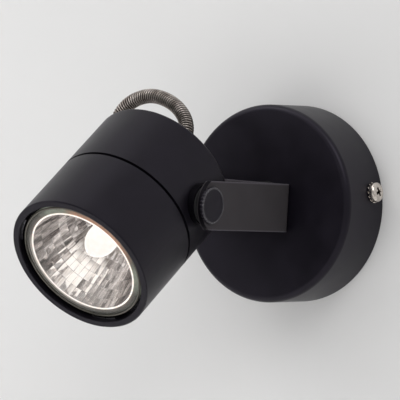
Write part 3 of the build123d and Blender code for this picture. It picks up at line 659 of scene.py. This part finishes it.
# ---- lamp: mirror-coated glass bowl with its facets, rim, cover glass and lit capsule ----
lampSize = {
    "front": 40.3, "back": -4.7,        # along the beam from the tilt axis
    "radius": 25.0, "rim": 4.17,
    "glassRadius": 23.8, "glass": 1.2, "bead": 0.45,
    "mirrorMouth": 21.4, "mirrorTop": 38.9, "mirrorNeck": 6.2, "mirrorLow": 5.6, "mirrorCurve": 2.2,
    "neck": 7.5, "neckTop": 5.3, "mouth": 23.6,
    "columns": 54, "rows": 10,
    "facetGap": 0.1, "facetLift": 0.06, "facetTilt": 3.0, "facetCrown": 0.03, "facetSheet": 0.2,
    # edge is the width of the mirror's edge ring, which glows as painted light
    "edge": 0.6,                        # bright edge of the mirror coat
    "capsule": 5.8, "capsuleLow": -3.2, "capsuleHigh": 34.6,
    "glowFrom": 18.0, "glowTo": 23.0,   # the coil's light fades over this stretch of the capsule
}
rimTurn = beam.cross(across)            # a quarter turn on from +X about the beam


def bowlSide(s, count, outward=0.0):
    # side curve of the bowl from neck to mouth, as (radius, height), evenly spread along its length
    shares = [(i / count) ** 0.62 for i in range(count + 1)]
    return [(s["mirrorNeck"] + (s["mirrorMouth"] - s["mirrorNeck"]) * u + outward,
             s["mirrorLow"] + (s["mirrorTop"] - s["mirrorLow"]) * u ** s["mirrorCurve"]) for u in shares]


def mirrorCoat():
    # mirror coat with painted reflections and a painted glow: each facet has its own random tone, bright regions, dark
    # regions and radial streaks of painted reflection are laid over it, and the facets near the neck glow as a painted
    # stand-in for the coil's reflected light
    mirror = Finish("mirrorCoat", Metallic=1.0, Emission_Strength=1.0)
    tone = mirror.node("Attribute", {"attribute_name": "tone"}, output="Fac")
    cloud = mirror.noise(6.0, 2.0)
    x, y = mirror.along(across, pivot), mirror.along(rimTurn, pivot)
    radius = (x * x + y * y) ** 0.5
    turn = y.maths("ARCTAN2", y, x)
    # painted reflection: radial streaks laid out by turn and radius about the beam
    polar = mirror.node("CombineXYZ", inputs={0: turn * 7.0, 1: radius * 0.14})
    paintedStreaks = mirror.node("TexNoise", inputs={"Vector": polar, "Scale": 4.0, "Detail": 3.0, "Roughness": 0.6})
    # painted reflection: brighter and darker regions by angle about the beam
    lit = mirror.spread((turn + 1.95).size(), 0.4, 1.0, 0.2, 0.0) + mirror.spread((turn - 1.5).size(), 0.4, 0.9, 0.35, 0.0)
    paintedDark = mirror.spread((turn + 0.8).size(), 0.25, 0.6, 0.3, 0.0) + mirror.spread((turn - 2.7).size(), 0.2, 0.5, 0.2, 0.0)
    shade = mirror.spread(tone * 0.8 + paintedStreaks * 1.1 + cloud * 0.2 + lit - paintedDark, 0.38, 1.2)
    mirror.set("Base Color", mirror.node("ValToRGB", {"stops": [
        (0.0, (0.045, 0.032, 0.032)), (0.35, (0.24, 0.21, 0.205)), (0.6, (0.66, 0.63, 0.62)),
        (1.0, (0.96, 0.94, 0.93))]}, {"Fac": shade}))
    # painted glow: the facets near the neck glow as if lit by the coil
    paintedGlow = mirror.spread(radius, 8.0, 15.0, 1.0, 0.0)
    mirror.set("Emission Color", mirror.blend(shade * (0.15 + 0.9 * paintedGlow * paintedGlow), (0, 0, 0, 1), (1.0, 0.92, 0.86, 1)))
    mirror.set("Roughness", mirror.spread(mirror.noise(0.7, 2.0), 0.3, 0.7, 0.03, 0.09))
    mirror.bump(mirror.noise(0.9, 2.0), 0.004)
    return mirror.material


def rimGlass():
    # thick moulded glass seen edge-on, painted with stray light: a painted warm glow on one side, painted green light
    # on the other and pale painted highlight bands on the left
    glass = Finish("rimGlass", Coat_Weight=0.5, Coat_Roughness=0.05)
    x, y = glass.along(across, pivot), glass.along(rimTurn, pivot)
    radius = (x * x + y * y) ** 0.5
    turn = y.maths("ARCTAN2", y, x)
    patch = glass.noise(3.0, 3.0, 0.6, distortion=0.8)
    # lighter towards the mirror's edge, darker outwards
    plain = glass.node("ValToRGB", {"stops": [
        (0.0, (0.3, 0.25, 0.21)), (0.3, (0.16, 0.14, 0.12)), (0.6, (0.09, 0.084, 0.07)), (0.8, (0.02, 0.019, 0.016)),
        (1.0, (0.035, 0.034, 0.03))]}, {"Fac": glass.spread(radius, 21.6, 25.0)})
    # painted stray light: warm on one side
    warm = glass.spread((turn - 0.9).size(), 0.45, 0.9, 1.0, 0.0) * glass.spread(patch, 0.25, 0.5, 0.55, 1.0)
    paintedGreenLight = glass.spread((turn - 1.75).size(), 0.15, 0.4, 1.0, 0.0) + glass.spread((turn + 0.25).size(), 0.1, 0.4, 1.0, 0.0)
    left = glass.spread((turn + 2.7).maths("COSINE", turn + 2.7), 0.55, 0.85)
    paintedPaleHighlight = left * (glass.spread((radius - 22.25).size(), 0.3, 0.5, 1.0, 0.0)
                   + glass.spread((radius - 23.5).size(), 0.08, 0.2, 0.5, 0.0))
    shade = glass.blend(warm, plain, (0.78, 0.44, 0.29, 1))
    shade = glass.blend(paintedGreenLight * glass.spread(patch, 0.35, 0.6, 0.6, 1.0), shade, (0.44, 0.48, 0.38, 1))
    glass.set("Base Color", glass.blend(paintedPaleHighlight * 0.9, shade, (0.85, 0.77, 0.69, 1)))
    glass.set("Roughness", glass.spread(patch, 0.3, 0.7, 0.12, 0.3))
    glass.bump(patch, 0.02)
    return glass.material


def clearGlass():
    glass = Finish("clearGlass", Roughness=0.03, Specular_IOR_Level=0.5)
    faint = glass.noise(7.0, 2.0)
    glass.set("Base Color", glass.blend(glass.spread(faint, 0.3, 0.7), (0.02, 0.026, 0.024, 1), (0.03, 0.036, 0.033, 1)))
    glass.set("Alpha", glass.node("LayerWeight", inputs={"Blend": 0.2}, output="Fresnel") * 0.5 + 0.03)
    return glass.material


def litCoat():
    # painted glow: the bare edge of the mirror coat glows, standing in for the light inside the glass coming out there
    glow = Finish("litEdge", Emission_Strength=1.0, Roughness=0.3)
    shade = glow.blend(glow.spread(glow.noise(3.0, 2.0), 0.35, 0.65), (0.95, 0.83, 0.74, 1), (1.0, 0.95, 0.9, 1))
    glow.set("Base Color", shade)
    glow.set("Emission Color", shade)
    return glow.material


def litQuartz(s):
    # the coil burns in the upper part of the capsule; the lower part is clear
    glow = Finish("litQuartz", Emission_Strength=1.15, Roughness=0.08)
    lit = glow.spread(glow.along(beam, pivot), s["glowFrom"], s["glowTo"])
    patch = glow.blend(glow.spread(glow.noise(2.0, 2.0), 0.35, 0.65), (1.0, 0.93, 0.86, 1), (1.0, 0.98, 0.95, 1))
    glow.set("Base Color", (0.3, 0.28, 0.26, 1))
    glow.set("Emission Color", glow.blend(lit, (0.06, 0.05, 0.045, 1), patch))
    return glow.material


def addFacets(s):
    # each facet is a small crowned pad, tilted a little its own way as the press left it
    bm = bmesh.new()
    verts = [bm.verts.new((radius, 0, height)) for radius, height in bowlSide(s, s["rows"])]
    edges = [bm.edges.new(pair) for pair in zip(verts, verts[1:])]
    bmesh.ops.spin(bm, geom=verts + edges, cent=(0, 0, 0), axis=(0, 0, 1), angle=math.tau, steps=s["columns"],
                   use_merge=True)
    bmesh.ops.recalc_face_normals(bm, faces=bm.faces)
    if bm.faces[0].normal.dot(Vector((*bm.faces[0].calc_center_median().xy, 0))) > 0:
        bmesh.ops.reverse_faces(bm, faces=bm.faces)
    pads = list(bm.faces)
    bmesh.ops.inset_individual(bm, faces=pads, thickness=s["facetGap"], depth=s["facetLift"])
    tone = bm.verts.layers.float.new("tone")
    chance = random.Random(11)
    for pad in pads:
        lean = math.radians(chance.gauss(0, s["facetTilt"]))
        axis = pad.edges[0].verts[1].co - pad.edges[0].verts[0].co
        axis.rotate(Matrix.Rotation(chance.uniform(0, math.tau), 3, pad.normal))
        bmesh.ops.rotate(bm, cent=pad.calc_center_median(), matrix=Matrix.Rotation(lean, 3, axis), verts=pad.verts)
        shade = chance.random()
        for v in pad.verts:
            v[tone] = shade
    crowns = bmesh.ops.poke(bm, faces=pads, offset=s["facetCrown"])
    for v in crowns["verts"]:
        v[tone] = v.link_edges[0].other_vert(v)[tone]
    bmesh.ops.solidify(bm, geom=bm.faces[:], thickness=s["facetSheet"])
    makePiece("reflector_facets", bm, onHead, mirrorCoat(), "head", ["lamp_reflector"], sharp=6)


def addLamp(s):
    addFacets(s)
    top = s["front"] - s["glass"]
    inside = [(radius, min(height, top)) for radius, height in bowlSide(s, 10, 0.3)]
    outside = [(radius, height) for radius, height in bowlSide(s, 10, 1.5) if height < s["front"] - s["rim"]]
    outline = inside[::-1] + [(s["mirrorNeck"], s["back"] + 1.5), (s["mirrorNeck"], s["back"]), (s["neck"], s["back"])]
    outline += outside + [(s["mouth"], s["front"] - s["rim"]), (s["radius"], s["front"] - s["rim"]), (s["radius"], top)]
    body = lathe(outline, 160, [(len(outline) - 1, 0.5, 4), (len(outline) - 2, 0.4, 3)])
    makePiece("reflector_glass", body, onHead, rimGlass(), "head", ["lamp_reflector"])

    # bead of clear cement that holds the cover glass
    middle = (s["glassRadius"] + s["radius"]) / 2 - 0.15
    bead = lathe([(middle - s["bead"], top), (middle + s["bead"], top), (middle + s["bead"] * 0.6, top + s["bead"]),
                  (middle - s["bead"] * 0.6, top + s["bead"])], 160, [(3, 0.15, 3), (2, 0.15, 3)])
    makePiece("glass_cement", bead, onHead, moulded("clearCement", (0.12, 0.11, 0.09), 0.2), "head",
              ["lamp_glass"])

    cover = lathe([(0, top + 0.02), (s["glassRadius"], top + 0.02), (s["glassRadius"], s["front"]),
                   (0, s["front"])], 160, [(2, 0.35, 4)])
    makePiece("cover_glass", cover, onHead, clearGlass(), "head", ["lamp_glass"])

    mouth, high = s["mirrorMouth"], s["mirrorTop"]
    # ring of painted glow at the mirror's edge
    bright = lathe([(mouth - s["edge"] / 2, high), (mouth + s["edge"] / 2, high), (mouth + s["edge"] / 2, top - 0.01),
                    (mouth - s["edge"] / 3, top - 0.01)], 160)
    makePiece("mirror_edge", bright, onHead, litCoat(), "head", ["lamp_reflector"])

    r, low, high = s["capsule"], s["capsuleLow"], s["capsuleHigh"]
    envelope = lathe([(0, low), (r * 0.8, low), (r * 0.8, low + 8), (r, low + 12), (r, high - r * 0.8), (0.9, high - 0.7),
                      (0.5, high), (0, high)], 64, [(4, r * 0.7, 8), (3, 1.5, 4)])
    makePiece("capsule_lit", envelope, onHead, litQuartz(s), "head", ["lamp_capsule"])


addLamp(lampSize)
print("lamp built")

# ---- wall, floor and soft studio light ----
studio = {
    "wallReach": 900.0, "floorDrop": 320.0, "floorPast": 20.0, "wallGap": 0.3,
    "worldLight": 0.45, "worldSeen": 0.72,
}


def stagePaint(name, level):
    # seen and lit from its front only, so that the light can also be looked at from behind
    paint = Finish(name, Roughness=0.75, Specular_IOR_Level=0.2)
    cloud = paint.noise(60.0, 3.0)
    paint.set("Base Color", paint.blend(paint.spread(cloud, 0.3, 0.7), grey(level * 0.985, 0.004), grey(level, 0.006)))
    paint.bump(paint.noise(2.4, 3.0, 0.6), 0.02)
    clear = paint.node("BsdfTransparent")
    behind = paint.node("NewGeometry", output="Backfacing")
    seen = paint.node("MixShader", inputs={0: behind, 1: Wire(paint, paint.shader.outputs[0]), 2: clear})
    paint.join(seen, paint.tree.nodes["Material Output"].inputs["Surface"])
    return paint.material


def addSheet(name, place, reach, finish):
    bm = bmesh.new()
    bmesh.ops.create_grid(bm, x_segments=2, y_segments=2, size=reach)
    bmesh.ops.transform(bm, matrix=place, verts=bm.verts)
    mesh = bpy.data.meshes.new(name)
    bm.to_mesh(mesh)
    bm.free()
    mesh.materials.append(finish)
    sheet = bpy.data.objects.new(name, mesh)
    scene.collection.objects.link(sheet)
    sheet.visible_shadow = False


addSheet("wall", placement((0, studio["wallGap"], 0), across, outwards), studio["wallReach"], stagePaint("wallPaint", 0.8))
addSheet("floor", placement((0, studio["floorPast"] - studio["wallReach"], -studio["floorDrop"]), across, (0, 0, 1)), studio["wallReach"],
         stagePaint("floorPaint", 0.78))

lamps = [
    # name, degrees to the right of the wall's normal, degrees up, power in watts
    ("softLeft", -58, 10, 1.1),
    ("softLeftFront", -33, 12, 0.9),
    ("softTop", 0, 60, 1.9),
    ("softTopLeft", -40, 72, 1.8),
    ("softUpperLeft", -50, 42, 6.1),
    ("softUpperRight", 45, 42, 6.2),
    ("softLowerLeft", -50, -40, 4.3),
    ("softLowerRight", 45, -40, 1.6),
]
lampReach, lampWidth = 1.6, 1.0
subject = Vector((-0.015, -0.05, 0))
for name, turned, raised, power in lamps:
    light = bpy.data.lights.new(name, "AREA")
    light.shape = "DISK"
    light.size = lampWidth
    light.energy = power
    turned, raised = math.radians(turned), math.radians(raised)
    towards = Vector((math.sin(turned) * math.cos(raised), -math.cos(turned) * math.cos(raised), math.sin(raised)))
    holder = bpy.data.objects.new(name, light)
    holder.location = subject + towards * lampReach
    holder.rotation_euler = (-towards).to_track_quat("-Z", "Y").to_euler()
    scene.collection.objects.link(holder)

world = bpy.data.worlds.new("studio")
world.use_nodes = True
scene.world = world
sky = world.node_tree.nodes["Background"]
path = world.node_tree.nodes.new("ShaderNodeLightPath")
level = world.node_tree.nodes.new("ShaderNodeMapRange")
level.inputs["To Min"].default_value = studio["worldLight"]
level.inputs["To Max"].default_value = studio["worldSeen"]
world.node_tree.links.new(path.outputs["Is Camera Ray"], level.inputs["Value"])
world.node_tree.links.new(level.outputs["Result"], sky.inputs["Strength"])
sky.inputs["Color"].default_value = (1, 1, 1, 1)
print("stage and lights")
